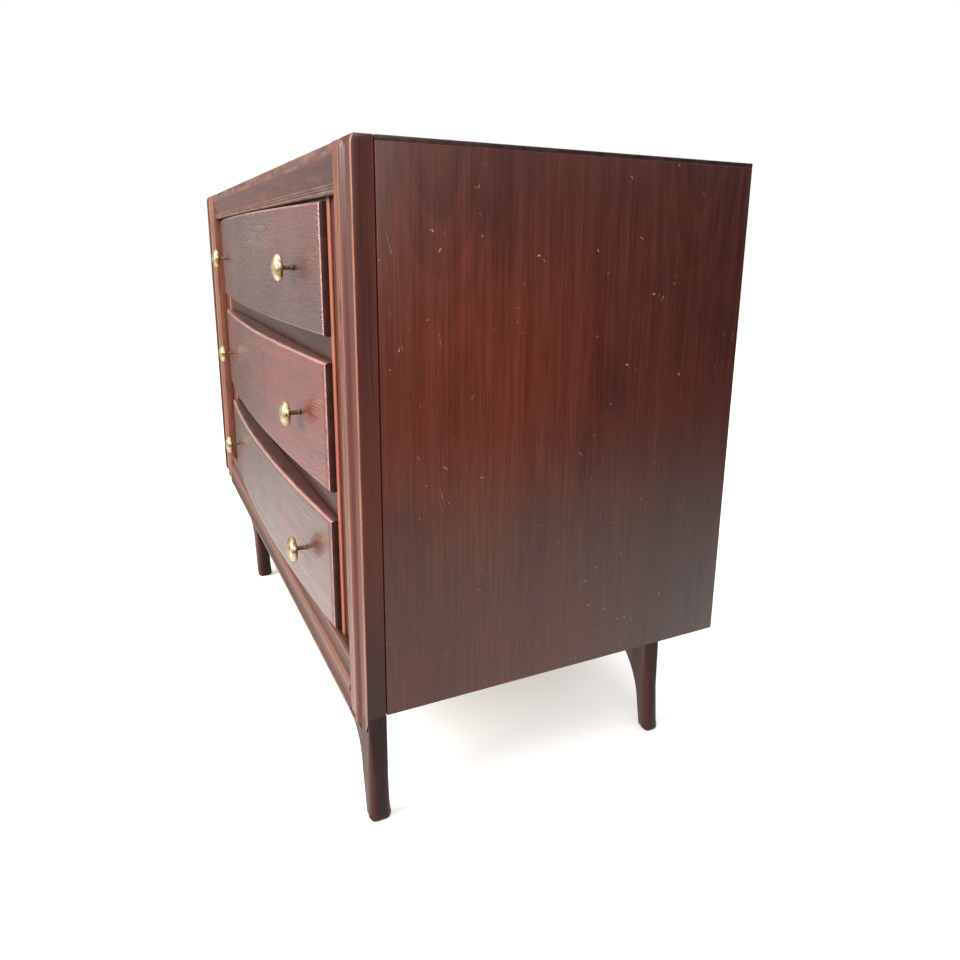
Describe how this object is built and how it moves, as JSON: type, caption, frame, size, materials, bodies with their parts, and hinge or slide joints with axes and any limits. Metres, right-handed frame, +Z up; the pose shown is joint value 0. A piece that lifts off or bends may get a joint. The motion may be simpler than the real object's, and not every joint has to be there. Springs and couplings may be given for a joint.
{
  "type": "chest of drawers",
  "caption": "Low wide wooden chest on short flared legs, with a moulded frame front and bowed sliding drawers with round metal knobs.",
  "frame": {"origin": "on the floor, below the middle of the whole chest with its knobs", "axes": "+X to the right along the width as seen from the front, +Y to the back, +Z up; drawers pull towards -Y"},
  "size_m": [1.085, 0.4958, 0.7095],
  "materials": {
    "side_veneer": "satin lacquered mahogany-red veneer, vertical grain",
    "top_sheet": "dark satin sheet",
    "frame_moulding": "worn lacquered red-brown hardwood",
    "inner_frame": "satin lacquered hardwood",
    "drawer_face": "gloss lacquered red mahogany, horizontal grain",
    "leg_wood": "satin lacquered hardwood",
    "secondary_wood": "bare light hardwood",
    "plywood": "bare plywood",
    "knob_brass": "aged polished brass",
    "steel_fixings": "plain steel"
  },
  "bodies": {
    "root": {"back_nails": "steel_fixings", "back_panel": "plywood", "bottom_board": "plywood", "bottom_front_rail": "frame_moulding", "drawer_divider_lower": "inner_frame", "drawer_divider_upper": "inner_frame", "front_leg_left": "leg_wood", "front_leg_middle": "leg_wood", "front_leg_right": "leg_wood", "front_stile_left": "frame_moulding", "front_stile_right": "frame_moulding", "glue_blocks": "secondary_wood", "inner_bottom_rail": "inner_frame", "inner_stile_left": "inner_frame", "inner_stile_right": "inner_frame", "inner_top_rail": "inner_frame", "leg_blocks": "secondary_wood", "lower_rear_rail": "secondary_wood", "lower_runner_left": "secondary_wood", "lower_runner_right": "secondary_wood", "middle_rear_rail": "secondary_wood", "middle_runner_left": "secondary_wood", "middle_runner_right": "secondary_wood", "rear_leg_left": "leg_wood", "rear_leg_right": "leg_wood", "side_panel_left": "side_veneer", "side_panel_right": "side_veneer", "top_core": "secondary_wood", "top_front_rail": "frame_moulding", "top_skin": "top_sheet", "upper_rear_rail": "secondary_wood", "upper_runner_left": "secondary_wood", "upper_runner_right": "secondary_wood"},
    "upper_drawer": {"upper_drawer_back": "secondary_wood", "upper_drawer_bottom": "plywood", "upper_drawer_front": "drawer_face", "upper_drawer_side_left": "secondary_wood", "upper_drawer_side_right": "secondary_wood", "upper_knob_left": "knob_brass", "upper_knob_right": "knob_brass", "upper_knob_screws": "steel_fixings"},
    "middle_drawer": {"middle_drawer_back": "secondary_wood", "middle_drawer_bottom": "plywood", "middle_drawer_front": "drawer_face", "middle_drawer_side_left": "secondary_wood", "middle_drawer_side_right": "secondary_wood", "middle_knob_left": "knob_brass", "middle_knob_right": "knob_brass", "middle_knob_screws": "steel_fixings"},
    "lower_drawer": {"lower_drawer_back": "secondary_wood", "lower_drawer_bottom": "plywood", "lower_drawer_front": "drawer_face", "lower_drawer_side_left": "secondary_wood", "lower_drawer_side_right": "secondary_wood", "lower_knob_left": "knob_brass", "lower_knob_right": "knob_brass", "lower_knob_screws": "steel_fixings"}
  },
  "joints": [
    {"name": "upper_drawer_slide", "type": "slide", "parent": "root", "child": "upper_drawer", "axis": [0, -1, 0], "range_m": [0, 0.33]},
    {"name": "middle_drawer_slide", "type": "slide", "parent": "root", "child": "middle_drawer", "axis": [0, -1, 0], "range_m": [0, 0.33]},
    {"name": "lower_drawer_slide", "type": "slide", "parent": "root", "child": "lower_drawer", "axis": [0, -1, 0], "range_m": [0, 0.33]}
  ]
}
